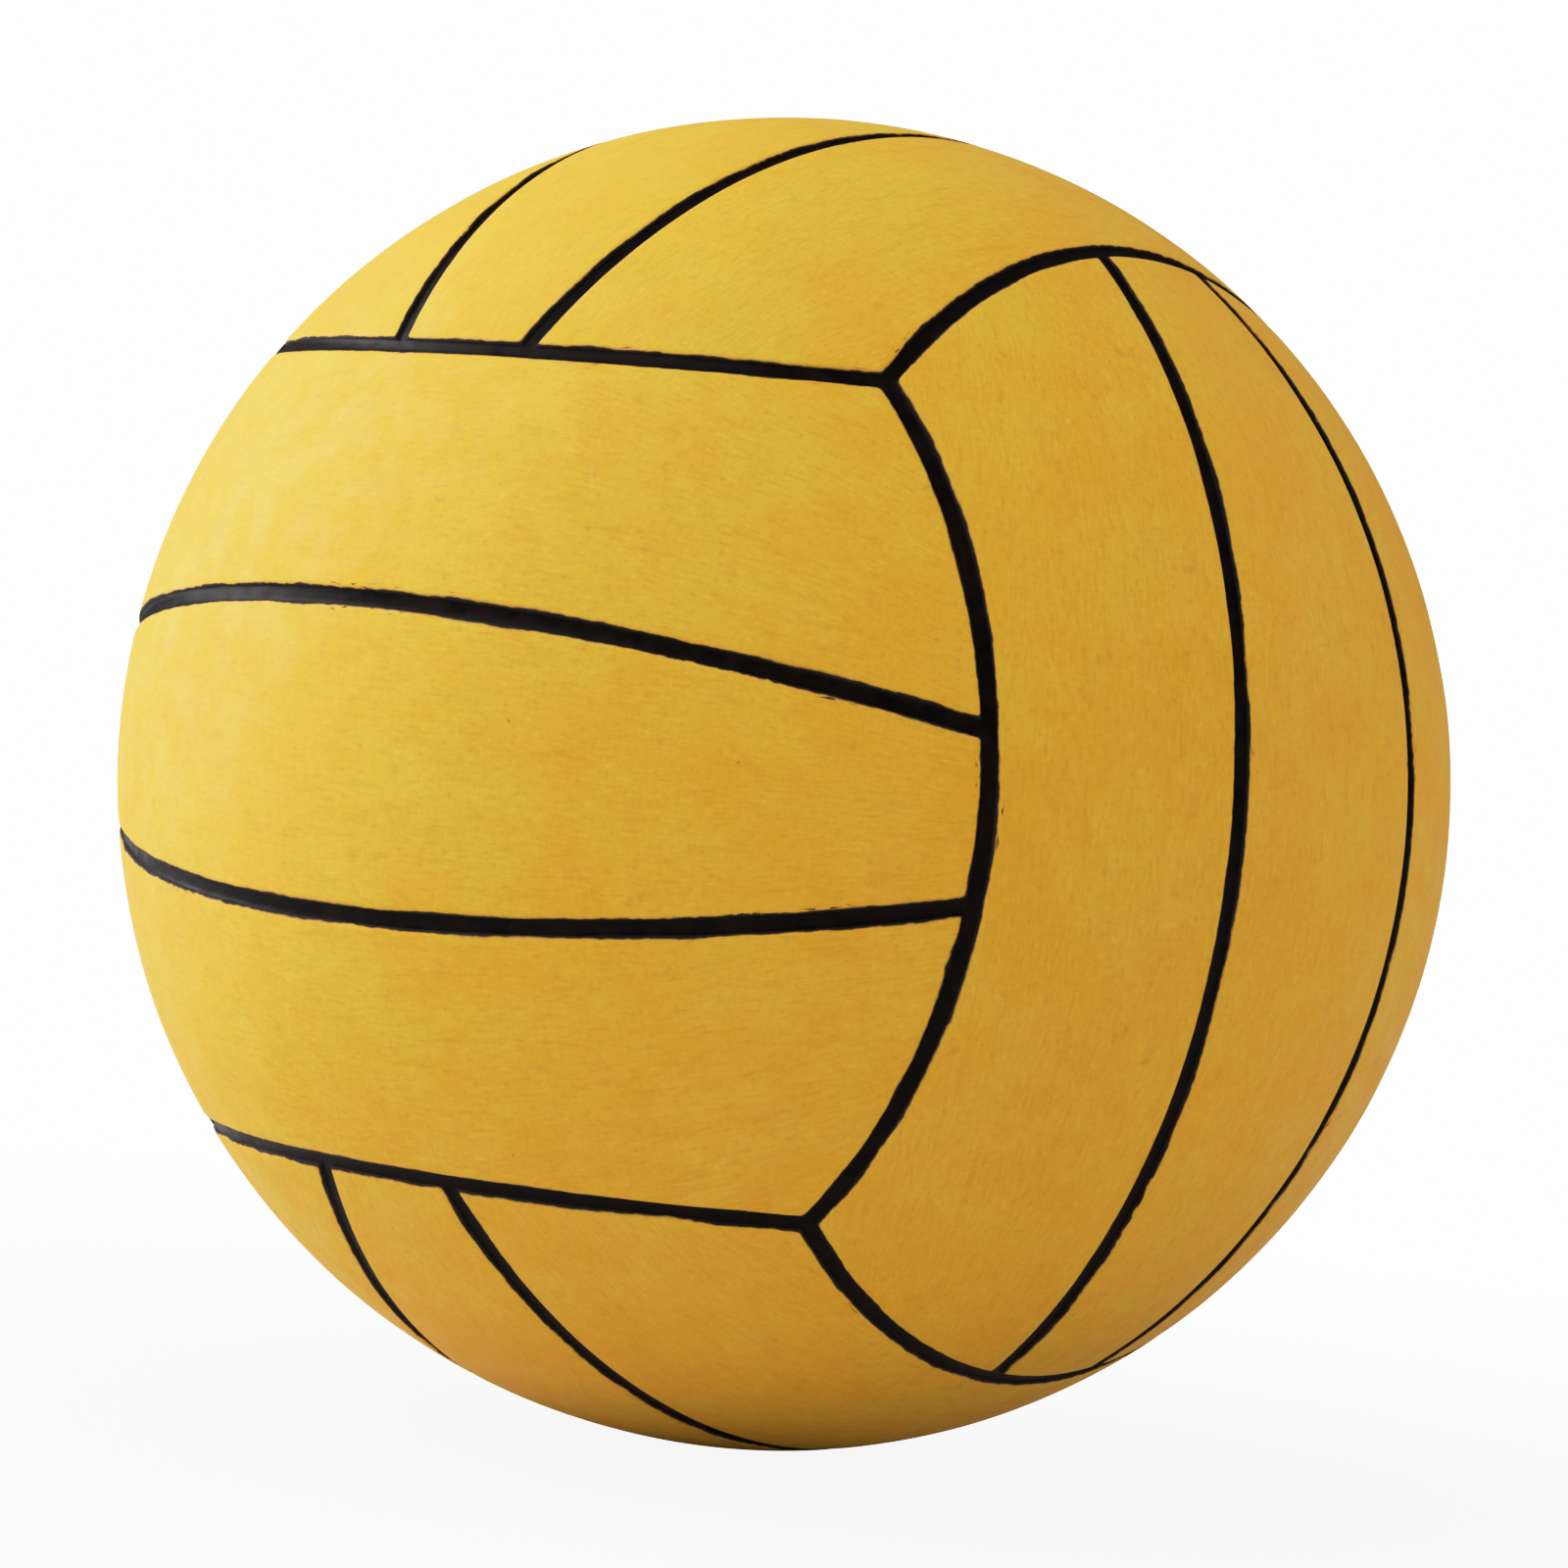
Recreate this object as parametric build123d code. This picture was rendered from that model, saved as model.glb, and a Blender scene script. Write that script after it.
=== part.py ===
from build123d import *
from math import acos, asin, atan2, cos, degrees, pi, sin, sqrt
import os

# A size 5 water polo ball: a bladder, its winding and a rubber carcass under eighteen cover panels,
# with black strips in the channels between the panels and a pull-out needle valve at the back.
# Millimetres. The origin is the ball's centre, +Z is up, -Y is the front group of panels and
# +Y points out of the valve.

# Driving dimensions of the layers
ball_diameter = 221.0
cover_thickness = 1.2
carcass_thickness = 0.45
winding_thickness = 0.35
bladder_thickness = 0.65
bond_gap = 0.05

# Driving dimensions of the panels and seams
middle_panel_width = 48.0
middle_panel_end_width = 26.0
seam_width = 2.4
seam_strip_thickness = 0.5
panel_lip_radius = 0.5

# Driving dimensions of the valve
plug_diameter = 6.0
plug_length = 20.0
plug_head_diameter = 9.0
plug_head_thickness = 1.6
plug_recess = 0.4
plug_nose_length = 3.0
plug_nose_diameter = 3.2
plug_clearance = 0.05
plug_seat_gap = 0.05
needle_hole_diameter = 2.2
needle_hole_depth = 9.0
needle_lead_in = 1.0
housing_diameter = 13.0
housing_flange_diameter = 36.0
housing_flange_thickness = 1.4

# Radii of the layers, from the surface inwards
ball_radius = ball_diameter / 2
panel_inner_radius = ball_radius - cover_thickness
strip_radius = panel_inner_radius + seam_strip_thickness
carcass_radius = panel_inner_radius - bond_gap
winding_radius = carcass_radius - carcass_thickness - bond_gap
bladder_radius = winding_radius - winding_thickness - bond_gap
flange_radius = bladder_radius - bladder_thickness - bond_gap

# Layout of the seams. The eight points where three seams meet are the corners of a cube, so a group's
# end seams lie on a cone about its outward axis that passes through four of those corners.
corner = 1 / sqrt(3)
end_angle = degrees(acos(corner))
half_channel = seam_width / 2
half_strip = half_channel - bond_gap
middle_half = middle_panel_width / 2
middle_end_half = middle_panel_end_width / 2
lip_radius = min(panel_lip_radius, cover_thickness - seam_strip_thickness)

# Sizes of the cutting tools, which only have to reach past what they cut
reach = 1.2 * ball_radius
cone_foot = 0.3 * ball_radius
surface_tolerance = 1e-5 * ball_radius
turn_margin = 5
band_turn = end_angle + turn_margin
strip_turn = 45 + turn_margin


def polar_point(radius, angle, sideways=0.0):
    """A point at this radius, turned from the sketch's second axis towards its first one.

    The point also lies this far sideways of the ray at that angle."""
    turn = angle * pi / 180 + asin(sideways / radius)
    return (radius * sin(turn), radius * cos(turn))


def layer_section(inner, outer, low, high, side_gap):
    """The flat section of a spherical layer between two radii and two angles, less a gap each side."""
    middle = (low + high) / 2
    outline = [
        ThreePointArc(
            polar_point(outer, low, side_gap),
            polar_point(outer, middle),
            polar_point(outer, high, -side_gap),
        ),
        Line(polar_point(outer, high, -side_gap), polar_point(inner, high, -side_gap)),
        ThreePointArc(
            polar_point(inner, high, -side_gap),
            polar_point(inner, middle),
            polar_point(inner, low, side_gap),
        ),
        Line(polar_point(inner, low, side_gap), polar_point(outer, low, side_gap)),
    ]
    return make_face(outline)


def group_band(inner, outer):
    """The belt of a layer that holds a group's three strips, open at the group's two ends.

    Here, as in the functions down to the end seam, +Z is the group's outward axis, its strips run
    along X and are stacked along Y."""
    limit = 90 - end_angle
    section = Plane.YZ * layer_section(inner, outer, -limit, limit, half_channel)
    return Rot(0, -band_turn, 0) * revolve(section, Axis.Y, 2 * band_turn)


def end_cone():
    """The cone about the group's axis that cuts its strips off at the channels of its end seams.

    It is turned so that the line where its own surface closes lies beside the group."""
    slope = sqrt(1 - corner**2) / corner
    apex = half_channel / sqrt(1 - corner**2)
    cone = Cone(
        slope * (cone_foot - apex),
        slope * (reach - apex),
        reach - cone_foot,
        align=(Align.CENTER, Align.CENTER, Align.MIN),
    )
    return Pos(0, 0, cone_foot) * Rot(0, 0, 90) * cone


def seam_plane(side, offset):
    """The plane of the inner seam on one side of the middle strip, moved outwards by an offset."""
    depth_middle = sqrt(ball_radius**2 - middle_half**2)
    depth_end = ball_radius * corner
    tilt = atan2(middle_half - middle_end_half, depth_middle - depth_end)
    normal = Vector(0, side * cos(tilt), -sin(tilt))
    on_seam = Vector(0, side * middle_half, depth_middle)
    return Plane(origin=on_seam + normal * offset, z_dir=normal)


def round_lips(panel):
    """The panel with its outer edges rounded."""
    lips = panel.edges().filter_by(lambda edge: abs((edge @ 0.5).length - ball_radius) < surface_tolerance)
    return fillet(lips, lip_radius)


def middle_panel():
    """The cover panel in the middle of a group."""
    panel = group_band(panel_inner_radius, ball_radius) & end_cone()
    for side in (-1, 1):
        panel = split(panel, seam_plane(side, -half_channel), Keep.BOTTOM)
    return round_lips(panel)


def side_panel():
    """The cover panel on the +Y side of a group."""
    panel = group_band(panel_inner_radius, ball_radius) & end_cone()
    return round_lips(split(panel, seam_plane(1, half_channel), Keep.TOP))


def inner_seam():
    """The strip in the channel between the middle panel and the panel on its +Y side."""
    strip = group_band(panel_inner_radius, strip_radius) & end_cone()
    strip = split(strip, seam_plane(1, half_strip), Keep.BOTTOM)
    return split(strip, seam_plane(1, -half_strip), Keep.TOP)


def end_seam():
    """The strip in the channel at the +X end of the group, mitred where three channels meet."""
    section = layer_section(panel_inner_radius, strip_radius, end_angle, end_angle, -half_strip)
    strip = revolve(Plane.XZ * section, Axis.Z, 2 * strip_turn)
    strip = Rot(0, 0, -strip_turn) * strip
    for across in (-1, 1):
        for mitre in (Vector(1, 2 * across, 1), Vector(2, across, -1)):
            normal = mitre.normalized()
            strip = split(strip, Plane(origin=normal * bond_gap / 2, z_dir=normal), Keep.TOP)
    return strip


def inner_layer(outer, thickness):
    """A whole spherical layer with a hole for the valve housing."""
    hole = Cylinder(housing_diameter / 2 + bond_gap, reach, align=(Align.CENTER, Align.CENTER, Align.MIN))
    return Sphere(outer) - Sphere(outer - thickness) - valve_axis * hole


def rod(diameter, top, length):
    """A round bar on the valve's axis, hanging down from this height."""
    bar = Cylinder(diameter / 2, length, align=(Align.CENTER, Align.CENTER, Align.MAX))
    return Pos(0, 0, top) * bar


def valve_housing():
    """The rubber sleeve that is bonded to the bladder by a flange and opens flush with the cover."""
    sleeve = rod(housing_diameter, ball_radius + housing_diameter, housing_bottom_depth + housing_diameter)
    sleeve = sleeve & Sphere(ball_radius)
    flange = Sphere(flange_radius) - Sphere(flange_radius - housing_flange_thickness)
    flange = flange & rod(housing_flange_diameter, reach, reach)
    bore = rod(plug_diameter + 2 * plug_clearance, reach, reach)
    seat = rod(plug_head_diameter + 2 * plug_clearance, reach, reach - head_seat_height + plug_seat_gap)
    return valve_axis * (sleeve + flange - bore - seat)


def valve_plug():
    """The rubber plug that pulls out of the housing, with a blind hole for an inflating needle."""
    shank_length = plug_length - plug_head_thickness - plug_nose_length
    head = rod(plug_head_diameter, plug_top, plug_head_thickness)
    shank = rod(plug_diameter, head_seat_height, shank_length)
    nose = Cone(
        plug_nose_diameter / 2,
        plug_diameter / 2,
        plug_nose_length,
        align=(Align.CENTER, Align.CENTER, Align.MAX),
    )
    nose = Pos(0, 0, head_seat_height - shank_length) * nose
    needle_hole = rod(needle_hole_diameter, plug_top, needle_hole_depth)
    lead_in = Cone(
        needle_hole_diameter / 2,
        needle_hole_diameter / 2 + needle_lead_in,
        needle_lead_in,
        align=(Align.CENTER, Align.CENTER, Align.MAX),
    )
    return valve_axis * (head + shank + nose - needle_hole - Pos(0, 0, plug_top) * lead_in)


# Heights along the valve's axis, measured from the ball's centre
valve_axis = Plane(origin=(0, 0, 0), x_dir=(1, 0, 0), z_dir=(0, 1, 0))
plug_top = ball_radius - plug_recess
head_seat_height = plug_top - plug_head_thickness
housing_bottom_depth = plug_recess + plug_length - plug_nose_length

# Each group: its outward axis, the axis along which its strips are stacked, the names of its strips
# from low to high along that axis, and the names of its two ends, the second one on the positive side.
groups = {
    "front": ((0, -1, 0), (0, 0, 1), ("lower", "middle", "upper"), ("left", "right")),
    "back": ((0, 1, 0), (0, 0, 1), ("lower", "middle", "upper"), ("left", "right")),
    "right": ((1, 0, 0), (0, 1, 0), ("front", "middle", "back"), ("bottom", "top")),
    "left": ((-1, 0, 0), (0, 1, 0), ("front", "middle", "back"), ("bottom", "top")),
    "top": ((0, 0, 1), (1, 0, 0), ("left", "middle", "right"), ("front", "back")),
    "bottom": ((0, 0, -1), (1, 0, 0), ("left", "middle", "right"), ("front", "back")),
}

half_turn = Rot(0, 0, 180)
panels = (half_turn * side_panel(), middle_panel(), side_panel())
inner_seams = (half_turn * inner_seam(), inner_seam())
end_seams = (half_turn * end_seam(), end_seam())

nodes = {}
for group, (outward, stacking, strips, ends) in groups.items():
    run = Vector(*stacking).cross(Vector(*outward))
    place = Plane(origin=(0, 0, 0), x_dir=run, z_dir=outward)
    for strip, panel in zip(strips, panels):
        nodes[f"{group}_{strip}_panel"] = place * panel
    for strip, seam in zip((strips[0], strips[2]), inner_seams):
        nodes[f"{group}_{strip}_seam"] = place * seam
    ends_along_run = ends if run.X + run.Y + run.Z > 0 else ends[::-1]
    for end, seam in zip(ends_along_run, end_seams):
        nodes[f"{group}_{end}_end_seam"] = place * seam

valve_hole = valve_axis * rod(housing_diameter + 2 * bond_gap, reach, reach)
nodes["back_middle_panel"] = nodes["back_middle_panel"] - valve_hole
nodes["carcass"] = inner_layer(carcass_radius, carcass_thickness)
nodes["winding"] = inner_layer(winding_radius, winding_thickness)
nodes["bladder"] = inner_layer(bladder_radius, bladder_thickness)
nodes["valve_housing"] = valve_housing()
nodes["valve_plug"] = valve_plug()

os.makedirs("parts", exist_ok=True)
for name, solid in nodes.items():
    export_step(solid, f"parts/{name}.step")
print(len(nodes), "pieces; circumference", round(pi * ball_diameter, 1), "mm")
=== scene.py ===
# %% [markdown]
# A water polo ball
#
# The ball has a yellow rubber cover of eighteen strips, black ink in the channels between them, and a
# needle valve at the back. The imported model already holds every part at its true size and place. It
# stays as it is, and this lesson gives the parts that show a finer skin and every part its finish.

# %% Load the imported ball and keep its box
import math

import bmesh
import bpy
import numpy as np
from mathutils import Matrix, Vector


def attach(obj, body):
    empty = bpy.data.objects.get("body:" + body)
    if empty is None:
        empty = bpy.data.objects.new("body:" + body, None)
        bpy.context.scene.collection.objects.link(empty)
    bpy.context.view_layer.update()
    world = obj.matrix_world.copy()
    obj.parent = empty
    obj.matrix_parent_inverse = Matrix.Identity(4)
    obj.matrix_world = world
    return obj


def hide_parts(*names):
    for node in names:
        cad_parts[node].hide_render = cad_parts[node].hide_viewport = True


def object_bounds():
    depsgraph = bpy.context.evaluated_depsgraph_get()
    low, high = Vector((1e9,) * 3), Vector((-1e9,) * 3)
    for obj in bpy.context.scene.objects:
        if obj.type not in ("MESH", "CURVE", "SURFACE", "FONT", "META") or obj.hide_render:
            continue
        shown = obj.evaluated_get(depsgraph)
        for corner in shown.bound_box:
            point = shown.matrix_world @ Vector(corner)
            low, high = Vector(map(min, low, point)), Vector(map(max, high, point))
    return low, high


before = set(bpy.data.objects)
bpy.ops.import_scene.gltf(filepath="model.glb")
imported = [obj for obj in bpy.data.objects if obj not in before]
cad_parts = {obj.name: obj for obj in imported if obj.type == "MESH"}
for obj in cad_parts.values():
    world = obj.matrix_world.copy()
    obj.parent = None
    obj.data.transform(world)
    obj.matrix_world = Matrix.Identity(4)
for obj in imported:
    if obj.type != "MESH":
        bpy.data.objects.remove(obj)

mm = 0.001
cad_low, cad_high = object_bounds()
ball_radius = (cad_high.z - cad_low.z) / 2
print("packed parts:", len(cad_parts), "ball radius in mm:", round(ball_radius / mm, 3))

# %% [markdown]
# Where the seams run
#
# The strips lie in six groups of three, like the faces of a cube, and each group is turned a quarter
# against its neighbours. The eight points where three seams meet are the cube's corners. Every long
# side of a strip is a flat cut through the ball, so two angles name it: how far the cut is tilted, and
# how far it lies from the ball's centre, as an angle seen from there. Painting lines on one sphere
# would be quicker, but then no strip would be a piece with edges of its own.

# %% Angles that lay out one group
half_channel = 1.2 * mm
middle_half_width = 24.0 * mm
middle_half_end_width = 13.0 * mm

corner_angle = math.acos(1 / math.sqrt(3))
channel_angle = math.asin(half_channel / ball_radius)
crown_height = math.sqrt(ball_radius**2 - middle_half_width**2)
corner_height = ball_radius * math.cos(corner_angle)
seam_tilt = math.atan2(middle_half_width - middle_half_end_width, crown_height - corner_height)
seam_angle = math.atan2(middle_half_width, crown_height) - seam_tilt
end_wall_angle = corner_angle - channel_angle
outer_wall_angle = math.pi / 2 - corner_angle - channel_angle
side_wall_angle = seam_angle + channel_angle
middle_wall_angle = seam_angle - channel_angle

# The two long sides of the first, middle and last strip of a group, each as its tilt and its angle
strip_sides = (
    ((0.0, -outer_wall_angle), (-seam_tilt, -side_wall_angle)),
    ((-seam_tilt, -middle_wall_angle), (seam_tilt, middle_wall_angle)),
    ((seam_tilt, side_wall_angle), (0.0, outer_wall_angle)),
)
print("seam tilt in degrees:", round(math.degrees(seam_tilt), 2))

# %% The six groups, with the names of their strips and ends
groups = {
    "front": ((0, -1, 0), (0, 0, 1), ("lower", "middle", "upper"), ("left", "right")),
    "back": ((0, 1, 0), (0, 0, 1), ("lower", "middle", "upper"), ("left", "right")),
    "right": ((1, 0, 0), (0, 1, 0), ("front", "middle", "back"), ("bottom", "top")),
    "left": ((-1, 0, 0), (0, 1, 0), ("front", "middle", "back"), ("bottom", "top")),
    "top": ((0, 0, 1), (1, 0, 0), ("left", "middle", "right"), ("front", "back")),
    "bottom": ((0, 0, -1), (1, 0, 0), ("left", "middle", "right"), ("front", "back")),
}


def group_axes(group):
    """A group's own axes as rows: along its strips, across them, and out of the ball."""
    outward, stacking = np.array(groups[group][:2], float)
    return np.array([np.cross(stacking, outward), stacking, outward])


def end_names(group):
    """The names of a group's two ends, in the order in which its strips run."""
    ends = groups[group][3]
    return ends if group_axes(group)[0].sum() > 0 else ends[::-1]


print("strips:", sum(len(strips) for _, _, strips, _ in groups.values()))


# %% Directions on a flat cut through the ball
def on_cut(tilt, angle, sweep):
    """Directions on a cut, swept along it from the middle of the group."""
    x = np.cos(angle) * np.sin(sweep)
    y = np.cos(tilt) * np.sin(angle) + np.sin(tilt) * np.cos(angle) * np.cos(sweep)
    z = np.cos(tilt) * np.cos(angle) * np.cos(sweep) - np.sin(tilt) * np.sin(angle)
    return np.stack(np.broadcast_arrays(x, y, z), -1)


def sweep_to(cone_angle, tilt, angle):
    """How far a cut sweeps before it meets the cone of this half-angle about the group's axis."""
    reach = (np.cos(cone_angle) + np.sin(tilt) * np.sin(angle)) / (np.cos(tilt) * np.cos(angle))
    return np.arccos(reach)


def past_cut(directions, tilt, angle):
    """How far directions lie past a cut, as a length on the ball's surface."""
    across = directions @ np.array([0.0, math.cos(tilt), -math.sin(tilt)])
    return ball_radius * (np.arcsin(across) - angle)


strip_length = 2 * ball_radius * float(sweep_to(end_wall_angle, 0.0, 0.0))
print("a middle strip is", round(strip_length / mm, 1), "mm long")

# %% [markdown]
# From arrays of points to pieces
#
# Each piece is a closed mesh made from arrays of points, because a strip's edges have to follow the
# cuts exactly. A helper turns the arrays into an object, hangs it on an empty for the body that carries
# it, hides the imported part that it stands for, and turns the faces so that they look outwards.


# %% Make a mesh piece, hang it on its body and hide the imported part
crease_angle = math.radians(50)


def make_piece(part, points, faces, body, slot):
    """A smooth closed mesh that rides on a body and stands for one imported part."""
    mesh = bpy.data.meshes.new(part + "_skin")
    mesh.from_pydata(points, [], faces)
    sculpt = bmesh.new()
    sculpt.from_mesh(mesh)
    bmesh.ops.recalc_face_normals(sculpt, faces=sculpt.faces)
    sculpt.to_mesh(mesh)
    sculpt.free()
    mesh.shade_smooth()
    mesh.set_sharp_from_angle(angle=crease_angle)
    piece = bpy.data.objects.new(part + "_skin", mesh)
    bpy.context.scene.collection.objects.link(piece)
    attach(piece, body)
    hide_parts(part)
    return piece


def store(piece, name, values):
    """Keep one number or one vector per point for the shaders to read."""
    values = np.asarray(values, np.float32)
    kind, field = ("FLOAT_VECTOR", "vector") if values.ndim == 2 else ("FLOAT", "value")
    piece.data.attributes.new(name, kind, "POINT").data.foreach_set(field, values.ravel())


print("faces crease past", round(math.degrees(crease_angle)), "degrees")


# %% Slow, uneven waves
def soft_waves(points, seed, shortest, longest, count=14):
    """A smooth field of about -1 to 1 over points in space, from waves of these lengths."""
    dice = np.random.default_rng(seed)
    field = np.zeros(points.shape[:-1])
    for _ in range(count):
        heading = dice.normal(size=3)
        length = math.exp(dice.uniform(math.log(shortest), math.log(longest)))
        push = heading / np.linalg.norm(heading) * 2 * math.pi / length
        field += np.sin(points @ push + dice.uniform(0, 2 * math.pi))
    return field / math.sqrt(count)


print("a wave at the top:", round(float(soft_waves(np.array([0, 0, ball_radius]), 1, 0.01, 0.04)), 3))

# %% [markdown]
# The cover strips
#
# Each strip is a sheet of moulded rubber, little more than a millimetre thick, whose edges roll down
# into the channel beside it. A bevel modifier could round the edges, but it would make corners of its
# own where three strips meet. Here the rows and columns of the mesh crowd together near the edges and
# follow a quarter of an ellipse down to the channel wall. The face of the strip also rises and falls
# by a few hundredths of a millimetre, as rubber over a wound carcass does.

# %% Sizes of a cover strip
cover_thickness = 1.2 * mm
lip_width = 0.9 * mm
lip_depth = 0.55 * mm
cell_length = 1.6 * mm
swell_height = 0.03 * mm
swell_lengths = (14 * mm, 45 * mm)
lip_turns = np.linspace(0, math.pi / 2, 7)
steps_past_lip = (1.4 * mm, 2.2 * mm)
edge_steps = np.append(lip_width * (1 - np.cos(lip_turns)), steps_past_lip)
print("rows in a lip:", len(lip_turns))


# %% The grid of directions that covers one strip
def between(first, last, count):
    """Evenly spaced values between two ends, without the ends."""
    return np.linspace(first, last, count + 2)[1:-1]


def strip_grid(sides):
    """Directions over a strip, in rows along it, crowded near its edges."""
    (tilt_a, angle_a), (tilt_b, angle_b) = sides
    steps = edge_steps / ball_radius
    inner_a, inner_b = angle_a + steps[-1], angle_b - steps[-1]
    count = round(ball_radius * (tilt_b + inner_b - tilt_a - inner_a) / cell_length)
    same = np.ones(len(steps))
    tilts = np.concatenate([tilt_a * same, between(tilt_a, tilt_b, count), tilt_b * same])
    angles = np.concatenate([angle_a + steps, between(inner_a, inner_b, count), angle_b - steps[::-1]])
    tilts, angles = tilts[:, None], angles[:, None]
    ends = sweep_to(end_wall_angle - steps, tilts, angles)
    inner = between(-1, 1, round(strip_length / cell_length)) * ends[:, -1:]
    return on_cut(tilts, angles, np.hstack([-ends, inner, ends[:, ::-1]]))


print("points over a middle strip:", strip_grid(strip_sides[1]).shape[:2])


# %% Rims and walls of a sheet
def rim(index):
    """The points round a block of the grid, anticlockwise seen from outside."""
    return np.concatenate([index[0, :-1], index[:-1, -1], index[-1, :0:-1], index[:0:-1, 0]])


def band(outer, inner):
    """Quads between two loops of points that both run anticlockwise, the second inside the first."""
    return np.stack([outer, np.roll(outer, -1), np.roll(inner, -1), inner], -1)


def grid_faces(index):
    """Quads between the rows and columns of a grid."""
    return np.stack([index[:-1, :-1], index[:-1, 1:], index[1:, 1:], index[1:, :-1]], -1)


print("points round a grid of 3 by 4:", len(rim(np.arange(12).reshape(3, 4))))

# %% [markdown]
# The strip with the valve
#
# One strip at the back has a round hole for the valve. A boolean cut would leave long thin triangles,
# so a square block of the grid is left out instead, and rings of points lead from the square to the
# hole. A shallow moulded ring round the hole is where a player finds the valve with a thumb.

# %% Sizes round the valve's hole
housing_radius = 6.5 * mm
valve_hole_radius = housing_radius + 0.05 * mm
hole_lip = 0.35 * mm
thumb_ring_radius = 9.3 * mm
thumb_ring_half_width = 0.8 * mm
thumb_ring_depth = 0.4 * mm
gap_half_size = 14.0 * mm
ring_blends = (0.35, 0.7)
rings_outside_thumb_ring = (12.0 * mm, 11.0 * mm)
rings_inside_thumb_ring = (7.9 * mm, 7.3 * mm)
ring_radii = np.concatenate([
    rings_outside_thumb_ring,
    thumb_ring_radius + thumb_ring_half_width * np.linspace(1.2, -1.2, 9),
    rings_inside_thumb_ring,
    valve_hole_radius + hole_lip * (1 - np.cos(np.linspace(math.pi / 2, 0, 5))),
])
print("rings round the valve:", len(ring_blends) + len(ring_radii))


# %% Rings between the square gap and the hole
def valve_rings(gap_rim):
    """Directions on the rings that lead from the gap's rim to the hole, ring after ring."""
    distance = ball_radius * np.hypot(gap_rim[:, 0], gap_rim[:, 1])
    turn = np.arctan2(gap_rim[:, 1], gap_rim[:, 0])
    radii = [distance + (ring_radii[0] - distance) * share for share in ring_blends]
    radii += [np.full(len(gap_rim), radius) for radius in ring_radii]
    flat = np.array(radii) / ball_radius
    return np.stack([flat * np.cos(turn), flat * np.sin(turn), np.sqrt(1 - flat**2)], -1)


def valve_depth(directions):
    """Depth of the thumb ring and of the hole's rolled edge."""
    radius = ball_radius * np.hypot(directions[:, 0], directions[:, 1])
    ring = np.clip(1 - np.abs(radius - thumb_ring_radius) / thumb_ring_half_width, 0, 1)
    edge = np.clip(1 - (radius - valve_hole_radius) / hole_lip, 0, 1)
    return thumb_ring_depth * np.sin(ring * math.pi / 2) ** 2 + hole_lip * (1 - np.sqrt(1 - edge**2))


def strip_face(sides, with_valve):
    """Directions, quads and rims of a strip's outer face. The second rim, if any, is the valve's hole."""
    grid = strip_grid(sides)
    directions = grid.reshape(-1, 3)
    index = np.arange(len(directions)).reshape(grid.shape[:2])
    quads = grid_faces(index)
    rims = [rim(index)]
    if not with_valve:
        return directions, quads.reshape(-1, 4), rims
    near = ball_radius * np.abs(grid[..., :2]).max(-1) < gap_half_size
    rows, columns = np.flatnonzero(near.any(1)), np.flatnonzero(near.any(0))
    kept = np.ones(quads.shape[:2], bool)
    kept[rows[0] : rows[-1], columns[0] : columns[-1]] = False
    loop = rim(index[rows[0] : rows[-1] + 1, columns[0] : columns[-1] + 1])
    rings = valve_rings(directions[loop])
    bands = []
    for ring in np.arange(rings[..., 0].size).reshape(rings.shape[:2]) + len(directions):
        bands.append(band(loop, ring))
        loop = ring
    return np.vstack([directions, rings.reshape(-1, 3)]), np.vstack([quads[kept], *bands]), rims + [loop]


print("quads on the face with the valve:", len(strip_face(strip_sides[1], True)[1]))

# %% [markdown]
# Ink over the edges
#
# The channels are inked after moulding, and the ink also reaches a little way over the lips, further in
# some places than in others. The mesh can't follow an edge that fine, so each point keeps a number: how
# many millimetres it lies from the ink's edge. The rubber's shader then draws the edge from it.

# %% How far the ink reaches over a lip
ink_reach = 0.36 * mm
ink_wander = 0.13 * mm
ink_wander_lengths = (8 * mm, 60 * mm)
ink_wander_seed = 100
corner_creep = 0.22 * mm
corner_turn = 4.0 * mm


def rolled_depth(from_side, from_end):
    """Depth of the rolled edge, which rolls both ways where a side meets an end."""
    side = np.clip(1 - from_side / lip_width, 0, 1)
    end = np.clip(1 - from_end / lip_width, 0, 1)
    return lip_depth * (1 - np.sqrt((1 - side**2) * (1 - end**2)))


def ink_edge(points, from_side, from_end, seed):
    """Millimetres from the edge of the ink, negative where the lip is inked."""
    near = np.exp(-from_side / corner_creep) + np.exp(-from_end / corner_creep)
    gap = -corner_creep * np.log(np.maximum(near, 1e-9))
    return (gap - ink_reach - ink_wander * soft_waves(points, seed, *ink_wander_lengths)) / mm


print("a strip's corner rolls down", round(float(rolled_depth(0.0, 0.0)) / mm, 2), "mm")

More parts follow.
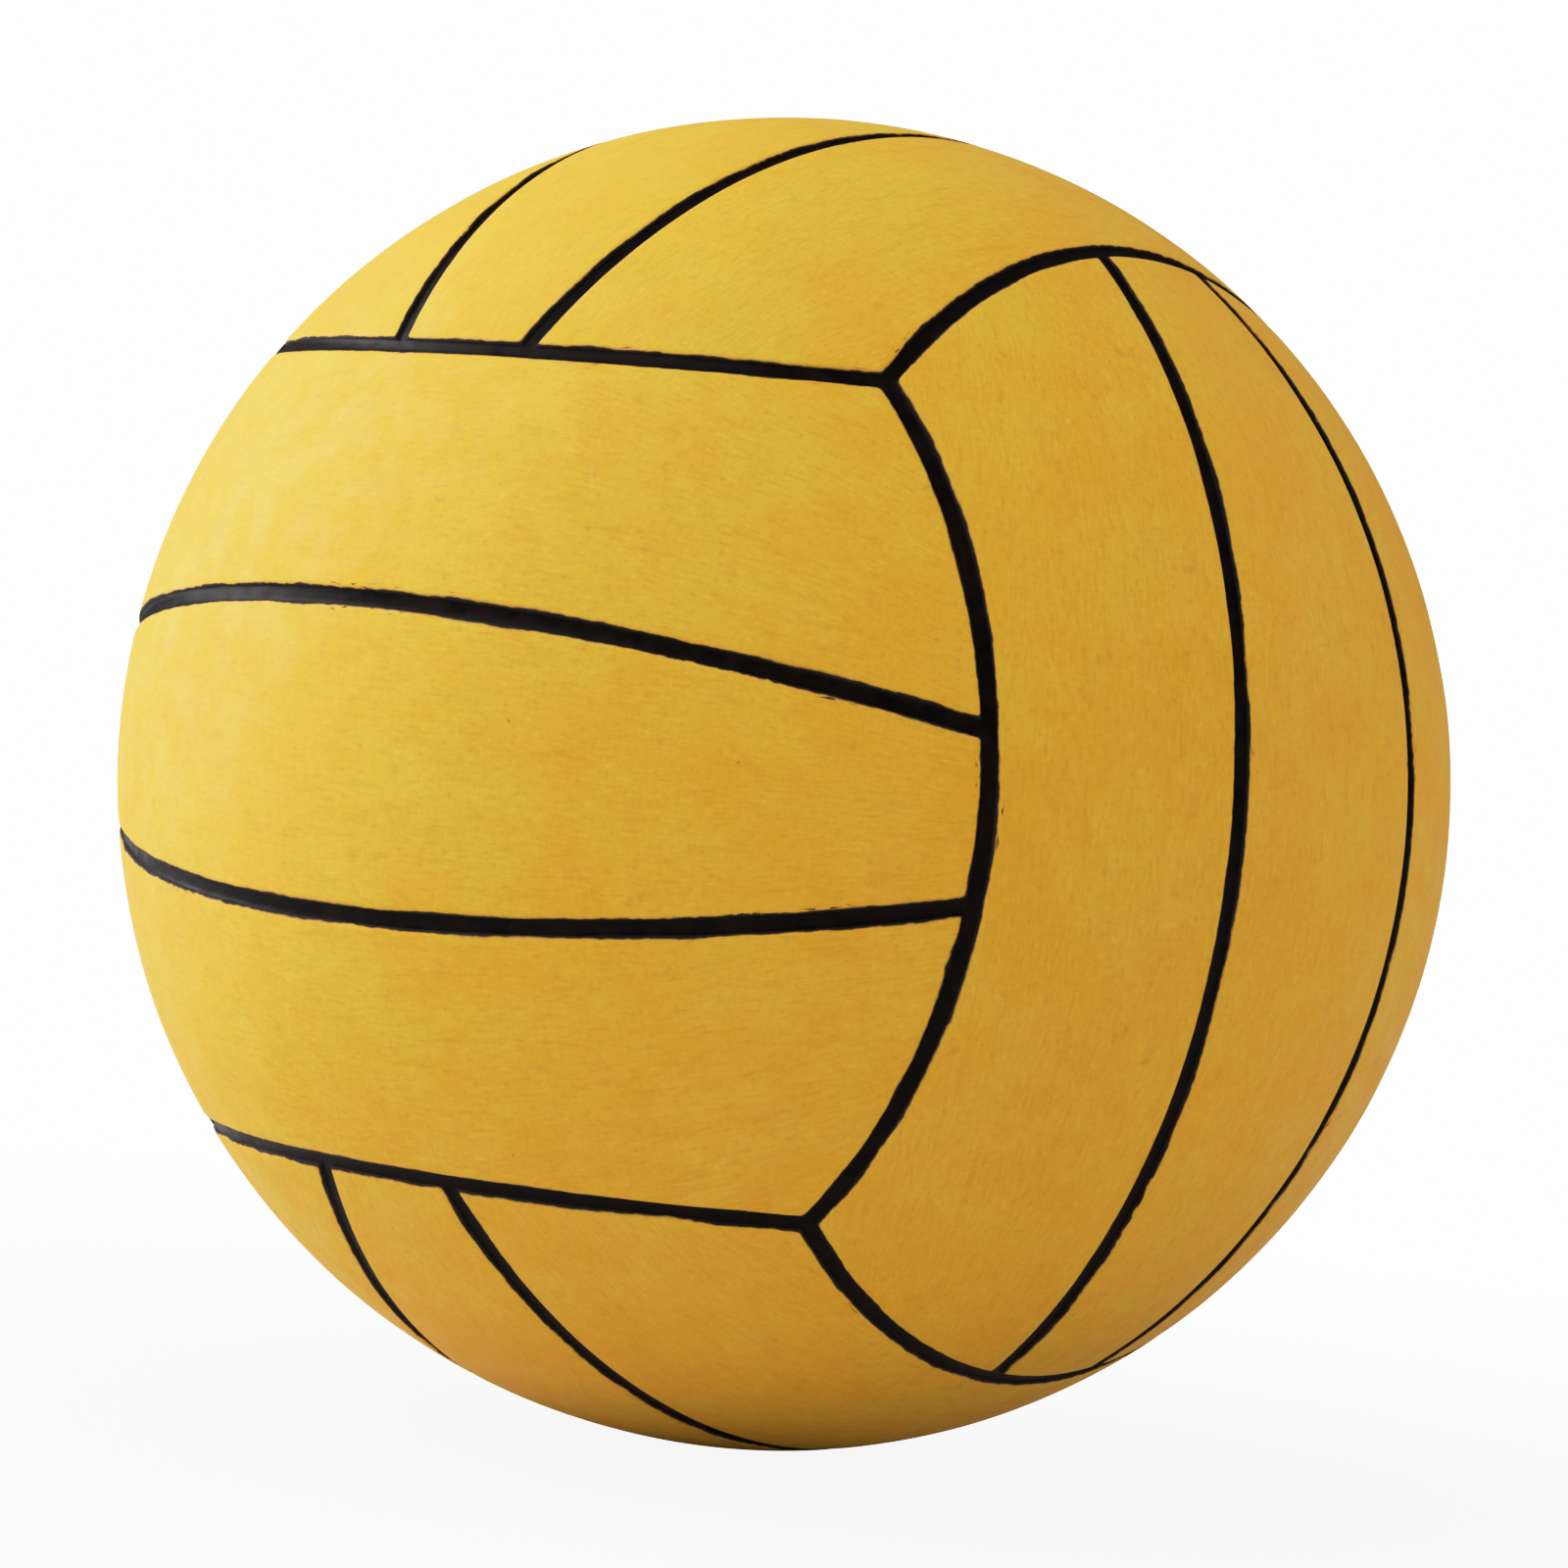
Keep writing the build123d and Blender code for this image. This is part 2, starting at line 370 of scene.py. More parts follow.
# %% Build the eighteen strips
def cover_strip(group, place, seed):
    """A closed rubber strip with rolled edges. The middle one at the back has the valve's hole."""
    sides = strip_sides[place]
    holed = group == "back" and place == 1
    directions, quads, rims = strip_face(sides, holed)
    used, quads = np.unique(quads, return_inverse=True)
    quads = quads.reshape(-1, 4)
    rims = [np.searchsorted(used, loop) for loop in rims]
    directions = directions[used]
    from_side = np.minimum(past_cut(directions, *sides[0]), -past_cut(directions, *sides[1]))
    from_end = ball_radius * (end_wall_angle - np.arccos(directions[:, 2]))
    depth = rolled_depth(from_side, from_end)
    if holed:
        depth = depth + valve_depth(directions)
    axes = group_axes(group)
    surface = ball_radius * directions @ axes
    swell = swell_height * soft_waves(surface, seed, *swell_lengths)
    upper = directions * (ball_radius - depth + swell)[:, None]
    lower = directions * (ball_radius - cover_thickness)
    count = len(directions)
    faces = [quads, quads[:, ::-1] + count, band(rims[0] + count, rims[0])]
    faces += [band(loop, loop + count) for loop in rims[1:]]
    faces = np.vstack(faces).tolist()
    part = f"{group}_{groups[group][2][place]}_panel"
    piece = make_piece(part, np.vstack([upper, lower]) @ axes, faces, "ball", "cover_rubber")
    along = ball_radius * np.arcsin(directions[:, 0])
    across = ball_radius * np.arctan2(directions[:, 1], directions[:, 2])
    store(piece, "strip_place", np.tile(np.stack([along, across, np.full(count, seed)], -1), (2, 1)))
    beside = np.clip(0.5 + (from_end - from_side) / corner_turn, 0, 1)
    run = along * beside + across * (1 - beside)
    gap = np.minimum(from_side, from_end)
    store(piece, "edge_place", np.tile(np.stack([run, gap, np.full(count, seed)], -1), (2, 1)))
    store(piece, "ink_edge", np.tile(ink_edge(surface, from_side, from_end, seed + ink_wander_seed), 2))
    return piece


cover_pieces = []
for number, (group, place) in enumerate((group, place) for group in groups for place in range(3)):
    cover_pieces.append(cover_strip(group, place, number + 1))
print("cover strips:", len(cover_pieces), "points:", sum(len(p.data.vertices) for p in cover_pieces))

# %% [markdown]
# The ink in the channels
#
# Ink runs down into each channel and dries with a hollow face: low in the middle and drawn up along
# both walls. A flat ribbon would catch the light all at once, so each ribbon's section is hollow, and
# its face is a little lumpy along its length. Where three channels meet, the ribbons are mitred, and
# where one channel runs into another's side, the drawn-up wall dies away to leave the mouth open.

# %% Sizes of the ink
ink_floor_depth = 0.72 * mm
ink_wall_rise = ink_floor_depth - lip_depth + 0.02 * mm
ink_lump_height = 0.03 * mm
ink_lump_lengths = (2.5 * mm, 14 * mm)
ink_lump_seed = 200
ink_step = 0.8 * mm
mouth_width = 1.5 * mm
ink_offsets = half_channel * np.array([-1, -0.93, -0.8, -0.6, -0.33, 0, 0.33, 0.6, 0.8, 0.93, 1])
wall_shares = np.abs(ink_offsets / half_channel) ** 4
mitre_slope = math.tan(math.radians(30))
print("points across a ribbon of ink:", len(ink_offsets))


# %% A ribbon of ink from rows of directions
def ink_ribbon(part, group, directions, rise):
    """A closed ribbon whose hollow face follows rows of directions, one row per step along a channel."""
    axes = group_axes(group)
    lumps = soft_waves(ball_radius * directions @ axes, ink_lump_seed, *ink_lump_lengths)
    height = ball_radius - ink_floor_depth + ink_wall_rise * rise + ink_lump_height * lumps * (1 - rise)
    face = directions * height[..., None]
    under = directions * (ball_radius - cover_thickness)
    rows, columns = directions.shape[:2]
    upper = np.arange(rows * columns).reshape(rows, columns)
    lower = upper + rows * columns
    loops = np.hstack([upper, lower[:, ::-1]])
    faces = [band(loops[row], loops[row + 1]) for row in range(rows - 1)]
    faces += [grid_faces(np.stack([upper[row], lower[row]]))[0] for row in (0, -1)]
    points = np.concatenate([face, under]).reshape(-1, 3) @ axes
    return make_piece(part, points, np.vstack(faces).tolist(), "ball", "seam_ink")


print("the ink's walls rise", round(ink_wall_rise / mm, 2), "mm above its floor")

# %% Ribbons along and across each group
def inner_ribbon(group, side):
    """The ink between a group's middle strip and its first strip (side -1) or last strip (side 1)."""
    tilt = side * seam_tilt
    angles = side * seam_angle + ink_offsets / ball_radius
    shares = np.linspace(-1, 1, round(strip_length / ink_step))[:, None]
    directions = on_cut(tilt, angles, shares * sweep_to(end_wall_angle, tilt, angles))
    rise = np.broadcast_to(wall_shares, directions.shape[:2])
    return ink_ribbon(f"{group}_{groups[group][2][1 + side]}_seam", group, directions, rise)


def end_ribbon(group, end):
    """The ink along one end of a group, from one corner of the cube to the next."""
    cones = corner_angle + ink_offsets / ball_radius
    ring_size = ball_radius * np.sin(cones)
    reach = math.pi / 4 - mitre_slope * np.abs(ink_offsets) / ring_size
    steps = round(math.pi / 2 * ball_radius * math.sin(corner_angle) / ink_step)
    turns = np.linspace(-1, 1, steps)[:, None] * reach
    heading = 2 * end - 1
    x, y = heading * np.sin(cones) * np.cos(turns), np.sin(cones) * np.sin(turns)
    directions = np.stack(np.broadcast_arrays(x, y, np.cos(cones)), -1)
    mouth = on_cut(seam_tilt, seam_angle, sweep_to(end_wall_angle, seam_tilt, seam_angle))
    from_mouth = (np.abs(turns) - math.atan2(mouth[1], mouth[0])) * ring_size
    shut = np.where(ink_offsets < 0, 1 - np.exp(-((from_mouth / mouth_width) ** 4)), 1)
    part = f"{group}_{end_names(group)[end]}_end_seam"
    return ink_ribbon(part, group, directions, wall_shares * shut)


ink_pieces = []
for group in groups:
    ink_pieces += [inner_ribbon(group, side) for side in (-1, 1)]
    ink_pieces += [end_ribbon(group, end) for end in (0, 1)]
print("ribbons of ink:", len(ink_pieces), "points:", sum(len(p.data.vertices) for p in ink_pieces))

# %% [markdown]
# The valve
#
# The housing is a rubber sleeve whose top lies flush with the cover, and the plug in it has a lead-in
# and a hole that guide an inflating needle. Both are round, so each is a profile turned about the
# valve's axis. A screw modifier would do the same, but arrays let every corner carry its own rounding.


# %% Turn a rounded profile about the valve's axis
turning_steps = 96
arc_shares = np.linspace(0, 1, 6)


def rounded(corners):
    """Points of a profile from corners of radius, height and rounding, in millimetres."""
    corners = np.array(corners, float)
    points = []
    for last, (x, y, rounding), after in zip(np.roll(corners, 1, 0), corners, np.roll(corners, -1, 0)):
        here = np.array([x, y])
        if rounding == 0:
            points.append(here)
            continue
        start = here + rounding * (last[:2] - here) / np.linalg.norm(last[:2] - here)
        finish = here + rounding * (after[:2] - here) / np.linalg.norm(after[:2] - here)
        points += [(1 - s) ** 2 * start + 2 * s * (1 - s) * here + s**2 * finish for s in arc_shares]
    return np.array(points) * mm


def turned(profile):
    """Points and faces of a closed profile turned about the +Y axis. Points on the axis become poles."""
    turn = np.linspace(0, 2 * math.pi, turning_steps, endpoint=False)
    points, loops = [], []
    for radius, height in profile:
        if radius == 0:
            loops.append([len(points)] * turning_steps)
            points.append((0.0, height, 0.0))
            continue
        loops.append(list(range(len(points), len(points) + turning_steps)))
        points += [(radius * math.cos(t), height, radius * math.sin(t)) for t in turn]
    faces = []
    for lower, upper in zip(loops, loops[1:] + loops[:1]):
        for i in range(turning_steps):
            corners = (lower[i - 1], lower[i], upper[i], upper[i - 1])
            corners = tuple(dict.fromkeys(corners))
            if len(corners) > 2:
                faces.append(corners)
    return np.array(points), faces


print("steps round the valve:", turning_steps)

# %% The housing
ball_mm = ball_radius / mm
flange_top, flange_thickness, flange_radius = 107.65, 1.4, 18.0
sleeve_radius, sleeve_bottom = housing_radius / mm, ball_mm - 17.4
seat_radius, seat_height, bore_radius = 4.55, ball_mm - 2.05, 3.05


def at_radius(sphere, radius):
    """Height of a sphere about the ball's centre at this distance from the valve's axis."""
    return math.sqrt(sphere**2 - radius**2)


flange_bottom = flange_top - flange_thickness
flange_places = np.linspace(sleeve_radius, flange_radius, 5)[1:-1]
housing_corners = [
    (seat_radius, at_radius(ball_mm, seat_radius), 0.35),
    (sleeve_radius, at_radius(ball_mm, sleeve_radius), 0.3),
    (sleeve_radius, at_radius(flange_top, sleeve_radius), 0.0),
    *[(radius, at_radius(flange_top, radius), 0.0) for radius in flange_places],
    (flange_radius, at_radius(flange_top, flange_radius), 0.4),
    (flange_radius, at_radius(flange_bottom, flange_radius), 0.4),
    *[(radius, at_radius(flange_bottom, radius), 0.0) for radius in flange_places[::-1]],
    (sleeve_radius, at_radius(flange_bottom, sleeve_radius), 0.0),
    (sleeve_radius, sleeve_bottom, 0.6),
    (bore_radius, sleeve_bottom, 0.3),
    (bore_radius, seat_height, 0.3),
    (seat_radius, seat_height, 0.2),
]
housing_piece = make_piece("valve_housing", *turned(rounded(housing_corners)), "ball", "valve_rubber")
print("housing points:", len(housing_piece.data.vertices))

# %% The plug
plug_top, head_thickness, head_radius = ball_mm - 0.4, 1.6, 4.5
shank_radius, shank_bottom, nose_bottom, nose_radius = 3.0, ball_mm - 17.4, ball_mm - 20.4, 1.6
needle_radius, needle_bottom, lead_in = 1.1, plug_top - 9.0, 1.0
head_groove_radius, head_groove_half_width, head_groove_depth = 3.35, 0.22, 0.16
shank_groove_depth, shank_groove_half_width = 0.18, 0.5
head_bottom = plug_top - head_thickness


def shank_groove(height):
    """A shallow groove round the shank, which keeps the grease that the plug is fitted with."""
    floor = shank_radius - shank_groove_depth
    top, bottom = height + shank_groove_half_width, height - shank_groove_half_width
    places = ((shank_radius, top), (floor, top - 0.2), (floor, bottom + 0.2), (shank_radius, bottom))
    return [(radius, place, 0.12) for radius, place in places]


groove_floor = plug_top - head_groove_depth
plug_corners = [
    (0.0, needle_bottom, 0.0),
    (needle_radius, needle_bottom + 0.3, 0.2),
    (needle_radius, plug_top - lead_in, 0.4),
    (needle_radius + lead_in, plug_top, 0.25),
    (head_groove_radius - head_groove_half_width, plug_top, 0.06),
    (head_groove_radius, groove_floor, 0.06),
    (head_groove_radius + head_groove_half_width, plug_top, 0.06),
    (head_radius, plug_top, 0.4),
    (head_radius, head_bottom, 0.25),
    (shank_radius, head_bottom, 0.15),
    *shank_groove(head_bottom - 3.0),
    *shank_groove(head_bottom - 6.0),
    *shank_groove(head_bottom - 9.0),
    (shank_radius, shank_bottom, 0.5),
    (nose_radius, nose_bottom, 0.5),
    (0.0, nose_bottom, 0.0),
]
plug_piece = make_piece("valve_plug", *turned(rounded(plug_corners)), "plug", "plug_rubber")
print("plug points:", len(plug_piece.data.vertices))

# %% [markdown]
# A few words for writing shaders
#
# A material here is a graph of small nodes. Writing it out node by node hides what it does, so these
# helpers name the steps: a cloud of noise, a smooth ramp, a mix of two colours, a sum. Colours are
# written as they look on a screen and turned into the linear values that the shader works with.


# %% Helpers for nodes
def paint(red, green, blue):
    """A colour as seen on a screen, 0 to 255, as the linear colour a shader needs."""
    screen = np.array([red, green, blue]) / 255
    linear = np.where(screen > 0.04045, ((screen + 0.055) / 1.055) ** 2.4, screen / 12.92)
    return (*linear.tolist(), 1.0)


def wire(tree, value, socket):
    """Link an output to an input, or set a plain value on it."""
    if isinstance(value, bpy.types.NodeSocket):
        tree.links.new(value, socket)
    else:
        socket.default_value = value


def add_node(tree, kind, inputs=None, **settings):
    """A shader node with its settings and inputs."""
    node = tree.nodes.new("ShaderNode" + kind)
    for name, value in settings.items():
        setattr(node, name, value)
    for name, value in (inputs or {}).items():
        wire(tree, value, node.inputs[name])
    return node


def calc(tree, operation, first, second=0.0):
    """One step of arithmetic."""
    return add_node(tree, "Math", {0: first, 1: second}, operation=operation).outputs[0]


def stretch(tree, place, along, across, up=1.0):
    """A place with its three directions scaled apart."""
    return add_node(tree, "VectorMath", {0: place, 1: (along, across, up)}, operation="MULTIPLY").outputs[0]


def cloud(tree, place, scale, detail=3.0, roughness=0.55):
    """Soft noise around one half. The scale is in clouds per metre."""
    inputs = {"Vector": place, "Scale": scale, "Detail": detail, "Roughness": roughness}
    return add_node(tree, "TexNoise", inputs).outputs["Fac"]


def total(tree, *shares):
    """A sum of values, each with its own weight."""
    result = 0.0
    for value, weight in shares:
        result = calc(tree, "ADD", result, calc(tree, "MULTIPLY", value, weight))
    return result


def ramp(tree, value, start, finish, low=0.0, high=1.0):
    """A smooth climb from low to high while the value goes from start to finish."""
    inputs = {"Value": value, "From Min": start, "From Max": finish, "To Min": low, "To Max": high}
    return add_node(tree, "MapRange", inputs, interpolation_type="SMOOTHSTEP").outputs["Result"]


def mix_colours(tree, share, first, second, blend="MIX"):
    """Two colours mixed by a share."""
    inputs = {0: share, 6: first, 7: second}
    return add_node(tree, "Mix", inputs, data_type="RGBA", blend_type=blend).outputs[2]


def new_group(name, inputs, outputs):
    """An empty node group with named sockets. Returns the group, its input node and its output node."""
    tree = bpy.data.node_groups.new(name, "ShaderNodeTree")
    for label, kind, value in inputs:
        socket = tree.interface.new_socket(label, in_out="INPUT", socket_type="NodeSocket" + kind)
        socket.default_value = value
    for label, kind in outputs:
        tree.interface.new_socket(label, in_out="OUTPUT", socket_type="NodeSocket" + kind)
    return tree, tree.nodes.new("NodeGroupInput").outputs, tree.nodes.new("NodeGroupOutput").inputs


def use_group(tree, group, inputs):
    """A group placed in a material with its own values. Returns its outputs."""
    node = tree.nodes.new("ShaderNodeGroup")
    node.node_tree = group
    for name, value in inputs.items():
        wire(tree, value, node.inputs[name])
    return node.outputs


print("screen white as a linear colour:", paint(255, 255, 255))

# %% [markdown]
# Effects that several materials share
#
# All the rubber on this ball came out of a mould, and all of it has a fine grain. The grain is made
# once, as a node group with its own inputs, and each rubber sets it to its own size. Specks of dirt and
# the look of dried ink are groups too: the ink is the same in the channels and on the lips.

# %% The grain of moulded rubber
grain_group, grain_in, grain_out = new_group(
    "moulded_grain",
    [
        ("Place", "Vector", (0, 0, 0)),
        ("Grains per Metre", "Float", 1500.0),
        ("Patches per Metre", "Float", 100.0),
    ],
    [("Tone", "Float"), ("Height", "Float")],
)
fine = cloud(grain_group, grain_in["Place"], grain_in["Grains per Metre"], 4.0, 0.6)
patches = cloud(grain_group, grain_in["Place"], grain_in["Patches per Metre"], 3.0, 0.5)
wire(grain_group, ramp(grain_group, patches, 0.28, 0.72), grain_out["Tone"])
wire(grain_group, fine, grain_out["Height"])
print("grain group nodes:", len(grain_group.nodes))

# %% Specks of dirt
speck_group, speck_in, speck_out = new_group(
    "dirt_specks",
    [("Place", "Vector", (0, 0, 0)), ("Cells per Metre", "Float", 180.0), ("Share", "Float", 0.25)],
    [("Mask", "Float")],
)
cell_inputs = {"Vector": speck_in["Place"], "Scale": speck_in["Cells per Metre"]}
cells = add_node(speck_group, "TexVoronoi", cell_inputs)
draws = add_node(speck_group, "SeparateColor", {"Color": cells.outputs["Color"]}).outputs
largest_speck = 0.06
raggedness = 0.05
size = calc(speck_group, "MULTIPLY", draws["Green"], largest_speck)
ragged = calc(speck_group, "MULTIPLY", cloud(speck_group, speck_in["Place"], 2600.0, 2.0), raggedness)
distance = calc(speck_group, "ADD", cells.outputs["Distance"], ragged)
inside = calc(speck_group, "LESS_THAN", calc(speck_group, "SUBTRACT", distance, raggedness / 2), size)
chosen = calc(speck_group, "LESS_THAN", draws["Red"], speck_in["Share"])
wire(speck_group, calc(speck_group, "MULTIPLY", inside, chosen), speck_out["Mask"])
print("speck group nodes:", len(speck_group.nodes))

# %% Dried ink
ink_group, ink_in, ink_out = new_group(
    "dried_ink",
    [("Place", "Vector", (0, 0, 0))],
    [("Color", "Color"), ("Roughness", "Float"), ("Height", "Float")],
)
ink_patches = cloud(ink_group, ink_in["Place"], 260.0, 3.0)
ink_tone = ramp(ink_group, ink_patches, 0.35, 0.7)
deep_ink, brown_ink, rubbed_ink_and_glint = paint(10, 7, 6), paint(20, 13, 9), paint(92, 82, 66)
ink_colour = mix_colours(ink_group, ink_tone, deep_ink, brown_ink)
# Sparse pale grey-beige spots in the ink: partly rubbed ink, partly painted glints in place of highlights.
rubbed_and_glint_share = ramp(ink_group, cloud(ink_group, ink_in["Place"], 620.0, 4.0, 0.65), 0.68, 0.78, 0.0, 0.2)
ink_colour = mix_colours(ink_group, rubbed_and_glint_share, ink_colour, rubbed_ink_and_glint)
wire(ink_group, ink_colour, ink_out["Color"])
wire(ink_group, ramp(ink_group, ink_patches, 0.3, 0.7, 0.3, 0.46), ink_out["Roughness"])
wire(ink_group, cloud(ink_group, ink_in["Place"], 900.0, 4.0), ink_out["Height"])
print("ink group nodes:", len(ink_group.nodes))


# %% Start a material and give it to pieces
def new_material(name):
    """An empty material with a Principled shader. Returns the material, its tree and the shader."""
    material = bpy.data.materials.new(name)
    material.use_nodes = True
    return material, material.node_tree, material.node_tree.nodes["Principled BSDF"]


def own_place(tree):
    """The place of a point in its own object, in metres. It moves with the piece."""
    return add_node(tree, "TexCoord").outputs["Object"]


def set_bump(tree, shader, height, millimetres):
    """Relief from a height of 0 to 1, this many millimetres high."""
    inputs = {"Height": height, "Distance": millimetres * mm, "Strength": 1.0}
    wire(tree, add_node(tree, "Bump", inputs).outputs["Normal"], shader.inputs["Normal"])


def set_values(shader, **values):
    """Plain values on the shader's own sockets."""
    for name, value in values.items():
        shader.inputs[name.replace("_", " ")].default_value = value


def finish_with(material, pieces):
    """Give pieces a material."""
    for piece in pieces:
        if not piece.material_slots:
            piece.data.materials.append(material)
        for slot in piece.material_slots:
            slot.material = material


print("node groups to choose from:", [group.name for group in (grain_group, speck_group, ink_group)])

# %% [markdown]
# The cover's rubber
#
# The cover is a matte yellow rubber. From close by it has short fine streaks along each strip with
# fainter ones across them, soft ochre patches where the colour took unevenly, and a few dark specks
# from the mould. The colour of the streaks and of the fine grain also holds painted shade and painted
# highlight: darker where their relief sinks, paler where it rises. One noise for all would look like
# paper, so each mark has a noise of its own length and width. The streaks follow each strip because
# they read the strip's own place, which the mesh keeps for every point. The ink's edge is drawn over
# all of that: clean in some stretches, ragged in others, and browner and duller where the ink is thin.

# %% Shades of the cover's rubber
lemon, amber = paint(213, 162, 36), paint(216, 154, 25)
patch_ochre, brushed_ochre, streak_ochre_and_shade = paint(200, 144, 24), paint(184, 130, 22), paint(178, 126, 22)
streak_pale_and_highlight, painted_pit_shade, painted_grain_highlight = paint(232, 182, 63), paint(172, 118, 18), paint(236, 188, 68)
smudge_brown, speck_brown, stain_brown = paint(120, 98, 36), paint(86, 62, 22), paint(128, 104, 58)
thin_ink = paint(62, 35, 12)
print("the lighter yellow, linear:", [round(v, 3) for v in lemon])

# %% Streaks, patches and pores of the cover's rubber, with painted shade and highlight
cover_material, cover, cover_shader = new_material("cover_rubber")
strip_place = add_node(cover, "Attribute", attribute_name="strip_place").outputs["Vector"]
cover_place = own_place(cover)
grain_sizes = {"Grains per Metre": 1500.0, "Patches per Metre": 170.0}
grain = use_group(cover, grain_group, {"Place": cover_place, **grain_sizes})
warmth = cloud(cover, cover_place, 60.0, 4.0, 0.6)
streaks = cloud(cover, stretch(cover, strip_place, 400.0, 1550.0), 1.0, 3.0, 0.6)
cross_marks = cloud(cover, stretch(cover, strip_place, 1420.0, 430.0), 1.0, 3.0, 0.6)
brushing = cloud(cover, stretch(cover, strip_place, 105.0, 450.0), 1.0, 3.0, 0.6)
marks = total(cover, (streaks, 0.65), (cross_marks, 0.35))

yellow = mix_colours(cover, ramp(cover, warmth, 0.32, 0.68), lemon, amber)
yellow = mix_colours(cover, ramp(cover, grain["Tone"], 0.0, 1.0, 0.0, 0.14), yellow, patch_ochre)
yellow = mix_colours(cover, ramp(cover, brushing, 0.52, 0.3, 0.0, 0.2), yellow, brushed_ochre)
# Streak colour is partly the rubber's own streaky tone and partly painted light: painted shade where the
# streaks' relief sinks, painted highlight where it rises.
yellow = mix_colours(cover, ramp(cover, marks, 0.5, 0.34, 0.0, 0.34), yellow, streak_ochre_and_shade)
yellow = mix_colours(cover, ramp(cover, marks, 0.52, 0.68, 0.0, 0.3), yellow, streak_pale_and_highlight)
# Painted shade and painted highlight on the fine grain: darker in its pits and paler on its tops, read from
# the same height as its bump.
yellow = mix_colours(cover, ramp(cover, grain["Height"], 0.44, 0.28, 0.0, 0.2), yellow, painted_pit_shade)
yellow = mix_colours(cover, ramp(cover, grain["Height"], 0.56, 0.72, 0.0, 0.12), yellow, painted_grain_highlight)
print("cover nodes so far:", len(cover.nodes))

# %% Specks and smudges on the cover's rubber
specks = use_group(cover, speck_group, {"Place": cover_place, "Cells per Metre": 190.0, "Share": 0.16})
smudges = ramp(cover, cloud(cover, cover_place, 420.0, 3.0), 0.6, 0.76, 0.0, 0.24)
smudges = calc(cover, "MULTIPLY", smudges, ramp(cover, cloud(cover, cover_place, 22.0, 2.0), 0.42, 0.62))
yellow = mix_colours(cover, smudges, yellow, smudge_brown)
yellow = mix_colours(cover, calc(cover, "MULTIPLY", specks["Mask"], 0.5), yellow, speck_brown)
print("cover nodes with specks:", len(cover.nodes))

# %% The ink's ragged edge on the lips
edge = add_node(cover, "Attribute", attribute_name="ink_edge").outputs["Fac"]
edge_place = add_node(cover, "Attribute", attribute_name="edge_place").outputs["Vector"]
rough_places = cloud(cover, stretch(cover, edge_place, 30.0, 30.0, 7.3), 1.0, 2.0)
jag_size = ramp(cover, rough_places, 0.55, 0.68, 0.26, 0.85)
drift_size = 0.64
jag = calc(cover, "MULTIPLY", calc(cover, "SUBTRACT", cloud(cover, cover_place, 760.0, 3.0), 0.5), jag_size)
drift = calc(cover, "SUBTRACT", cloud(cover, cover_place, 190.0, 2.0), 0.5)
drift = calc(cover, "MULTIPLY", drift, drift_size)
spill = calc(cover, "ADD", edge, calc(cover, "ADD", jag, drift))
inked = ramp(cover, spill, 0.14, -0.12)

dashes = ramp(cover, cloud(cover, stretch(cover, edge_place, 420.0, 2100.0), 1.0, 2.0), 0.56, 0.64)
dash_places = ramp(cover, cloud(cover, cover_place, 30.0, 2.0), 0.6, 0.68)
dashes = calc(cover, "MULTIPLY", calc(cover, "MULTIPLY", dashes, dash_places), ramp(cover, edge, 1.0, 0.4))
inked = calc(cover, "MAXIMUM", inked, dashes)

stain_places = ramp(cover, cloud(cover, cover_place, 36.0, 2.0), 0.42, 0.62, 0.12, 0.55)
stain = calc(cover, "MULTIPLY", ramp(cover, spill, 0.42, 0.02), stain_places)
yellow = mix_colours(cover, stain, yellow, stain_brown)
lip_ink = use_group(cover, ink_group, {"Place": cover_place})
thinness = ramp(cover, spill, -0.34, 0.06, 0.0, 0.9)
lip_colour = mix_colours(cover, thinness, lip_ink["Color"], thin_ink)
wire(cover, mix_colours(cover, inked, yellow, lip_colour), cover_shader.inputs["Base Color"])
print("cover nodes with ink:", len(cover.nodes))

# %% Finish of the cover's rubber
roughness = ramp(cover, grain["Tone"], 0.0, 1.0, 0.62, 0.74)
dulled = ramp(cover, inked, 0.0, 1.0, 0.0, 0.2)
wire(cover, calc(cover, "ADD", roughness, dulled), cover_shader.inputs["Roughness"])
ridges = cloud(cover, stretch(cover, strip_place, 700.0, 4200.0), 1.0, 2.0, 0.6)
relief = total(cover, (marks, 0.4), (grain["Height"], 0.6), (ridges, 0.35), (inked, 0.7))
cover_relief_mm = 0.036
set_bump(cover, cover_shader, relief, cover_relief_mm)
set_values(cover_shader, Specular_IOR_Level=0.3)
finish_with(cover_material, cover_pieces)
print("cover finish on", len(cover_pieces), "strips")

# %% [markdown]
# Ink, valve and what lies inside
#
# The ink is a black with a brown cast that dries to a low satin. The valve is a smooth black rubber.
# The carcass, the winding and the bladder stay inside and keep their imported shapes, but each still has
# its own finish, for whoever opens the ball.

# %% Finish of the ink in the channels
seam_material, seam, seam_shader = new_material("seam_ink")
channel_ink = use_group(seam, ink_group, {"Place": own_place(seam)})
wire(seam, channel_ink["Color"], seam_shader.inputs["Base Color"])
wire(seam, channel_ink["Roughness"], seam_shader.inputs["Roughness"])
ink_relief_mm = 0.03
set_bump(seam, seam_shader, channel_ink["Height"], ink_relief_mm)
set_values(seam_shader, Specular_IOR_Level=0.035)
finish_with(seam_material, ink_pieces)
print("ink finish on", len(ink_pieces), "ribbons")


# %% Finish of the black rubbers
dust_grey = paint(120, 112, 98)
dust_per_metre = 700.0
rubber_relief_mm = 0.015


